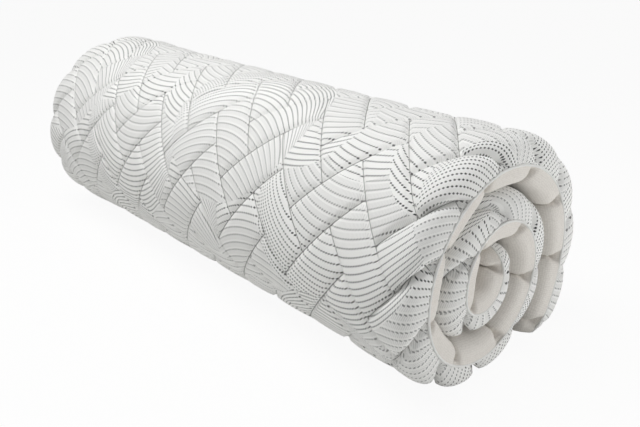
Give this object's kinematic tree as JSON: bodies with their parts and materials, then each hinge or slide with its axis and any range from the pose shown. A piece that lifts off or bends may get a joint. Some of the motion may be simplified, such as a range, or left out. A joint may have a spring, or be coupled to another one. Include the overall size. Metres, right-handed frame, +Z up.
{
  "type": "rolled memory foam mattress",
  "caption": "Thin quilted foam mattress wound into a loose roll, with a patterned outer cover, a plain lining, a piped seam and a loose end that lifts.",
  "frame": {"origin": "middle of the underside of the roll's box, on the floor", "axes": "+X along the roll towards the end that the picture shows, +Y towards the loose end, +Z up"},
  "size_m": [1.4, 0.5376, 0.4765],
  "materials": {
    "jacquard_knit": "quilted jacquard knit, white with grey lines",
    "lining_knit": "plain warm beige knit",
    "fibre_wadding": "polyester fibre",
    "memory_foam": "open-cell viscoelastic foam",
    "support_foam": "open-cell support foam",
    "piping": "woven piping"
  },
  "bodies": {
    "roll": {"jacquard_ticking": "jacquard_knit", "outer_wadding": "fibre_wadding", "memory_foam": "memory_foam", "support_foam": "support_foam", "inner_wadding": "fibre_wadding", "lining_ticking": "lining_knit", "edge_piping": "piping"},
    "loose_end": {"loose_end_jacquard_ticking": "jacquard_knit", "loose_end_outer_wadding": "fibre_wadding", "loose_end_memory_foam": "memory_foam", "loose_end_support_foam": "support_foam", "loose_end_inner_wadding": "fibre_wadding", "loose_end_lining_ticking": "lining_knit", "loose_end_edge_piping": "piping"}
  },
  "joints": [
    {"name": "loose_end_lift", "type": "hinge", "parent": "roll", "child": "loose_end", "pos_m": [0, 0.18264, 0.39735], "axis": [1, 0, 0], "range_deg": [0, 60]}
  ]
}
